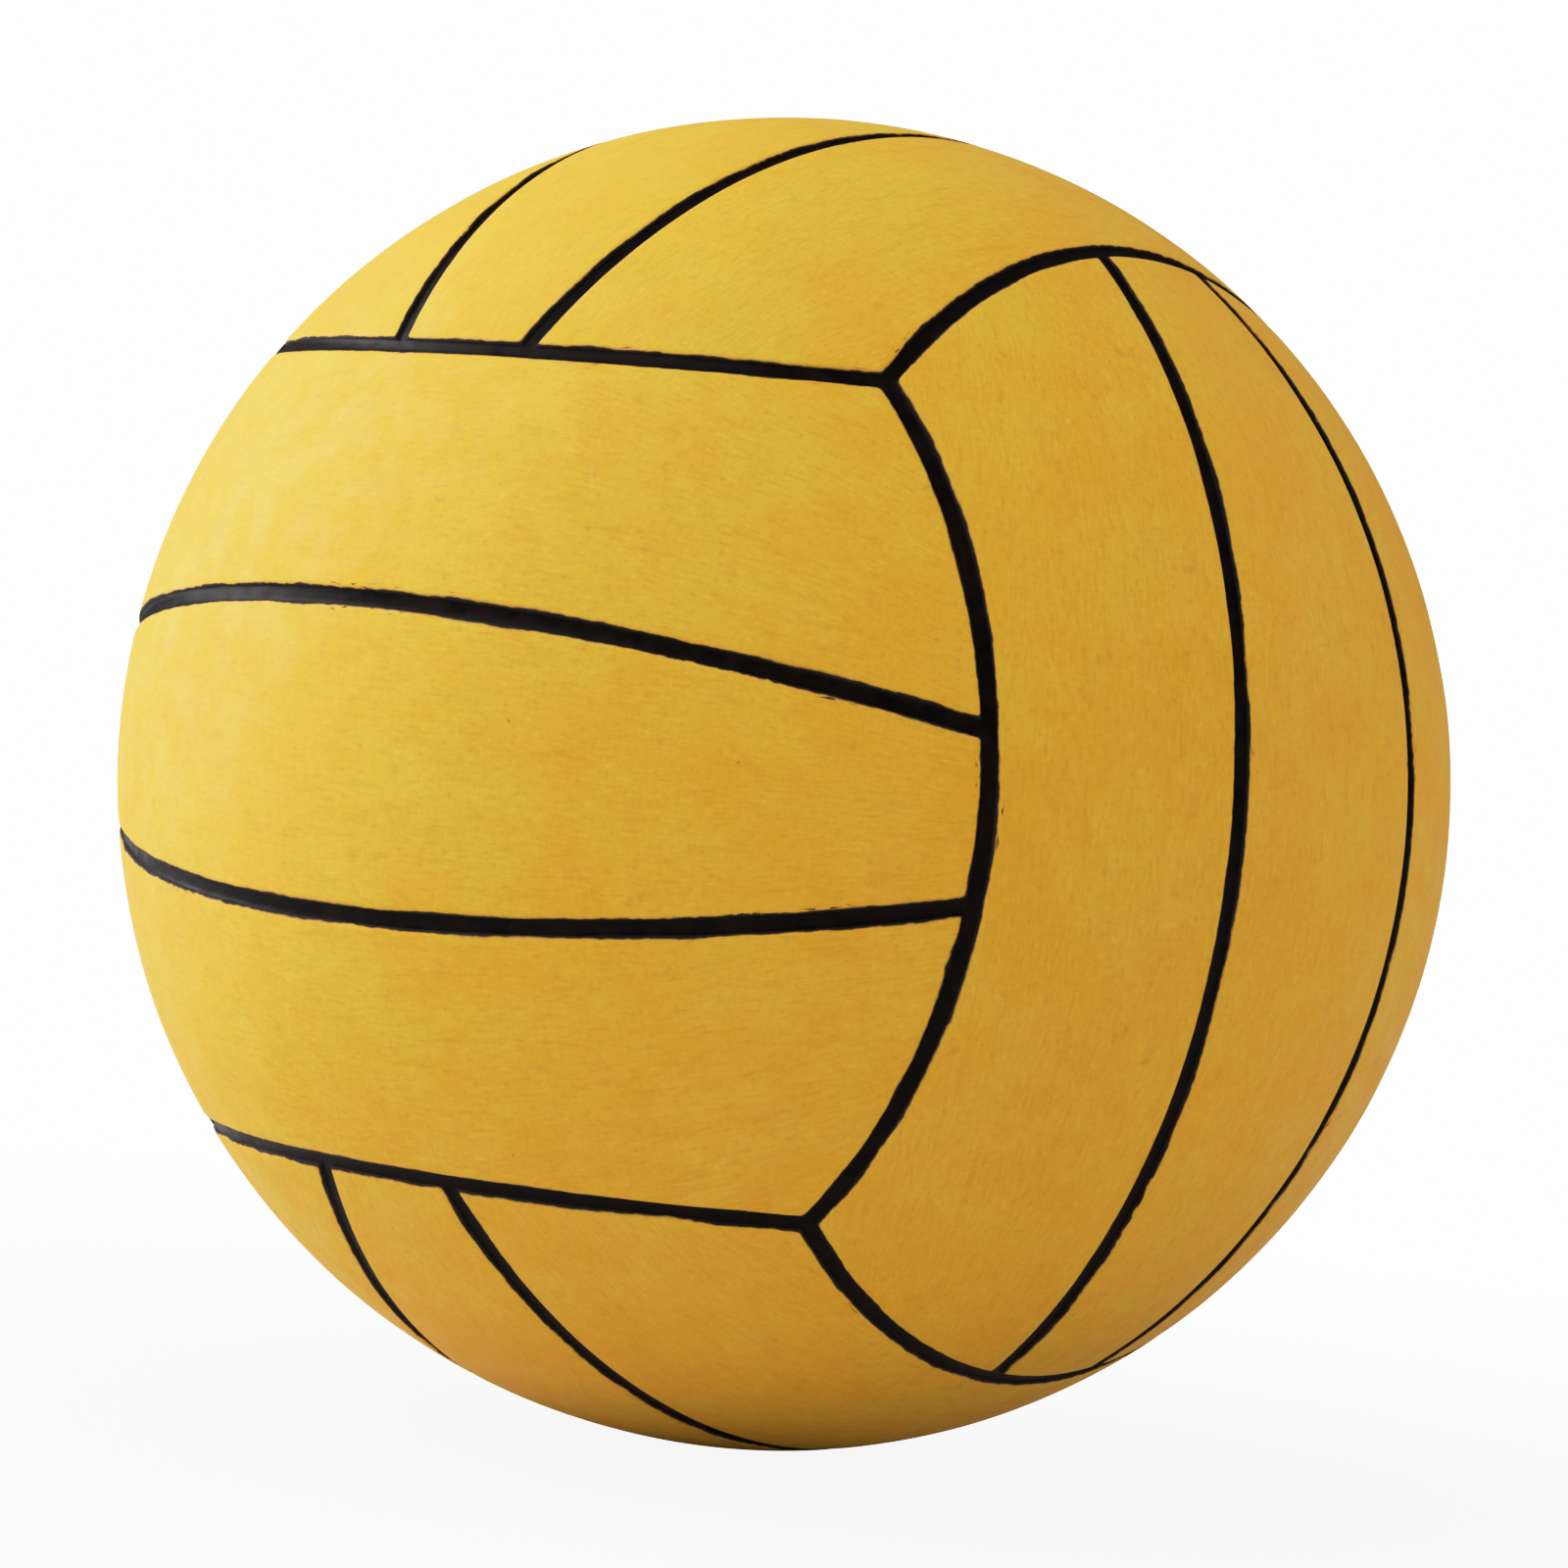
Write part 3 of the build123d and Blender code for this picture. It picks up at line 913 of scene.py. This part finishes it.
def black_rubber(name, tones, grains, patch_count, roughness, dirt):
    """A moulded rubber with a dark and a pale tone, its own grain and a share of specks."""
    material, tree, shader = new_material(name)
    place = own_place(tree)
    sizes = {"Grains per Metre": grains, "Patches per Metre": patch_count}
    grain = use_group(tree, grain_group, {"Place": place, **sizes})
    specks = use_group(tree, speck_group, {"Place": place, "Cells per Metre": dust_per_metre, "Share": dirt})
    colour = mix_colours(tree, grain["Tone"], *tones)
    colour = mix_colours(tree, calc(tree, "MULTIPLY", specks["Mask"], 0.5), colour, dust_grey)
    wire(tree, colour, shader.inputs["Base Color"])
    wire(tree, ramp(tree, grain["Tone"], 0.0, 1.0, *roughness), shader.inputs["Roughness"])
    set_bump(tree, shader, grain["Height"], rubber_relief_mm)
    set_values(shader, Specular_IOR_Level=0.3)
    return material


valve_tones = (paint(14, 13, 13), paint(24, 22, 21))
plug_tones = (paint(16, 15, 15), paint(28, 26, 25))
carcass_tones = (paint(48, 38, 30), paint(66, 54, 42))
bladder_tones = (paint(24, 24, 26), paint(38, 38, 40))
valve_material = black_rubber("valve_rubber", valve_tones, 2600.0, 420.0, (0.4, 0.58), 0.2)
plug_material = black_rubber("plug_rubber", plug_tones, 3200.0, 600.0, (0.34, 0.5), 0.15)
carcass_material = black_rubber("carcass_rubber", carcass_tones, 900.0, 60.0, (0.6, 0.8), 0.1)
bladder_material = black_rubber("bladder_butyl", bladder_tones, 700.0, 45.0, (0.45, 0.65), 0.1)
finish_with(valve_material, [housing_piece])
finish_with(plug_material, [plug_piece])
finish_with(carcass_material, [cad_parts["carcass"]])
finish_with(bladder_material, [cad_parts["bladder"]])
print("black rubbers: 4")

# %% Finish of the winding
winding_material, winding, winding_shader = new_material("winding_nylon")
winding_place = own_place(winding)
thread_tilts = ((0.3, 0.2, 0.0), (1.2, -0.4, 0.6), (-0.7, 0.9, 1.4))
thread_relief_mm = 0.15
gap_tan, thread_white = paint(150, 140, 118), paint(226, 220, 204)
thread = 0.0
for tilt_of_turn in thread_tilts:
    turned_place = add_node(winding, "VectorRotate", {"Vector": winding_place, "Rotation": tilt_of_turn},
                            rotation_type="EULER_XYZ").outputs[0]
    lines = add_node(winding, "TexWave", {"Vector": turned_place, "Scale": 180.0, "Distortion": 0.4})
    thread = calc(winding, "MAXIMUM", thread, lines.outputs["Fac"])
wire(winding, mix_colours(winding, thread, gap_tan, thread_white), winding_shader.inputs["Base Color"])
wire(winding, ramp(winding, thread, 0.0, 1.0, 0.7, 0.45), winding_shader.inputs["Roughness"])
set_bump(winding, winding_shader, thread, thread_relief_mm)
finish_with(winding_material, [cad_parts["winding"]])
print("winding nodes:", len(winding.nodes))

# %% [markdown]
# The camera
#
# The camera stands level with the ball, a little to its right, and leans a few degrees. Its answer to
# light matters as much as its place: past a middle brightness each colour climbs ever more slowly, so
# that the lit side of the rubber turns from orange to lemon. A curve on the view gives the picture that
# shoulder. Yellower paint on the lit side would look the same from here, but wrong from anywhere else.

# %% Place the camera
camera_azimuth = math.radians(38.83)
camera_elevation = math.radians(1.265)
camera_roll = math.radians(5.37)
camera_distance = 8.10 * ball_radius
camera_lens = 123.1

level = math.cos(camera_elevation)
level_right = Vector((math.cos(camera_azimuth), math.sin(camera_azimuth), 0))
level_back = Vector((math.sin(camera_azimuth), -math.cos(camera_azimuth), 0))
back = level * level_back + Vector((0, 0, math.sin(camera_elevation)))
level_up = back.cross(level_right)
right = math.cos(camera_roll) * level_right + math.sin(camera_roll) * level_up
up = back.cross(right)

camera = bpy.data.objects.new("camera", bpy.data.cameras.new("camera"))
camera.data.lens = camera_lens
turn_to_ball = Matrix((right, up, back)).transposed().to_4x4()
camera.matrix_world = Matrix.Translation(back * camera_distance) @ turn_to_ball
bpy.context.scene.collection.objects.link(camera)
bpy.context.scene.camera = camera
print("camera stands", round(camera_distance, 3), "m from the ball's centre")

# %% Its answer to light
brightest = 2.6
answers = ((0.3, 0.3), (0.58, 0.58), (0.81, 0.705), (1.1, 0.836), (1.7, 0.94))

view = bpy.context.scene.view_settings
view.view_transform = "Standard"
view.use_curve_mapping = True
view.curve_mapping.white_level = (brightest, brightest, brightest)
shoulder = view.curve_mapping.curves[3]
for light_level, shown in answers:
    shoulder.points.new(light_level / brightest, shown)
for point in shoulder.points:
    point.handle_type = "AUTO_CLAMPED"
view.curve_mapping.update()
print("light that looks white:", brightest)

# %% [markdown]
# The studio
#
# The ball stands on a pale floor in soft light: a tall lamp at the left and a little behind, a weaker
# one above, a faint one at the right, and an even glow all round. A single lamp would leave the right
# side too dark for its colour to show. The faint lamp and most of the glow stay out of reflections, as
# from a room with dark walls, because a white haze there would wash out the rubber's deep yellow.
#
# The floor and the glow look white to the camera, so that the floor has no edge. What they send to the
# ball is set apart from that, as paper and reflectors would be in a studio, because a floor as bright as
# it looks would light the ball's underside too much. From below the floor is clear, like a glass table.

# %% The floor
floor_half_size = 6.0
paper_grey = (0.67, 0.67, 0.67, 1.0)
paper_white = 2.45
shadow_reach = (0.1, 0.45)
shadow_whiteness = 0.62
floor_height = cad_low.z
floor_corners = [
    (x * floor_half_size, y * floor_half_size, floor_height) for x, y in ((-1, -1), (1, -1), (1, 1), (-1, 1))
]
floor_mesh = bpy.data.meshes.new("floor")
floor_mesh.from_pydata(floor_corners, [], [(0, 1, 2, 3)])
floor = bpy.data.objects.new("floor", floor_mesh)
bpy.context.scene.collection.objects.link(floor)

floor_material, paper, paper_shader = new_material("floor_paper")
set_values(paper_shader, Base_Color=paper_grey, Roughness=0.9, Specular_IOR_Level=0.1)
seen = add_node(paper, "LightPath").outputs["Is Camera Ray"]
from_ball = add_node(paper, "VectorMath", {0: own_place(paper)}, operation="LENGTH").outputs["Value"]
whiteness = calc(paper, "MULTIPLY", seen, ramp(paper, from_ball, *shadow_reach, shadow_whiteness, 1.0))
paper_glow = add_node(paper, "Emission", {"Strength": paper_white})
both = add_node(paper, "MixShader", {0: whiteness, 1: paper_shader.outputs[0], 2: paper_glow.outputs[0]})
from_below = calc(paper, "MULTIPLY", seen, add_node(paper, "NewGeometry").outputs["Backfacing"])
clear = add_node(paper, "BsdfTransparent")
sheet = add_node(paper, "MixShader", {0: from_below, 1: both.outputs[0], 2: clear.outputs[0]})
wire(paper, sheet.outputs[0], paper.nodes["Material Output"].inputs["Surface"])
finish_with(floor_material, [floor])
print("floor at", round(floor_height / mm, 2), "mm")

# %% The even glow
glow_strength = 0.76
mirrored_glow = 0.12
world = bpy.data.worlds.new("studio")
world.use_nodes = True
bpy.context.scene.world = world
sky = world.node_tree
rays = add_node(sky, "LightPath").outputs
strength = ramp(sky, rays["Is Glossy Ray"], 0.0, 1.0, glow_strength, mirrored_glow)
strength = ramp(sky, rays["Is Camera Ray"], 0.0, 1.0, strength, paper_white)
wire(sky, strength, sky.nodes["Background"].inputs["Strength"])
wire(sky, (1.0, 1.0, 1.0, 1.0), sky.nodes["Background"].inputs["Color"])
print("glow:", glow_strength, "in reflections:", mirrored_glow)


# %% The lamps
lamp_distance = 1.2


def lamp(name, direction, width, height, power):
    """A soft lamp that faces the ball, placed by camera directions: right, up and towards the camera."""
    place = (direction[0] * right + direction[1] * up + direction[2] * back).normalized()
    light = bpy.data.lights.new(name, "AREA")
    light.shape = "RECTANGLE"
    light.size, light.size_y, light.energy = width, height, power
    holder = bpy.data.objects.new(name, light)
    holder.location = place * lamp_distance
    holder.rotation_mode = "QUATERNION"
    holder.rotation_quaternion = place.to_track_quat("Z", "Y")
    bpy.context.scene.collection.objects.link(holder)
    return holder


lamps = [
    lamp("side_lamp", (-0.88, 0.30, -0.31), 0.7, 1.5, 24.5),
    lamp("top_lamp", (-0.52, 0.75, 0.41), 0.9, 0.9, 7.8),
    lamp("fill_lamp", (0.95, 0.32, 0.05), 0.9, 0.9, 3.0),
]
lamps[-1].visible_glossy = False
print("lamps:", [holder.name for holder in lamps])

# %% [markdown]
# The imported model's size
#
# The skins are finer than the imported parts, but they must not make the ball any larger. The box of the
# imported model is printed.

# %% Print the imported model's box
print("packed size in mm:", [round(v / mm, 2) for v in cad_high - cad_low])
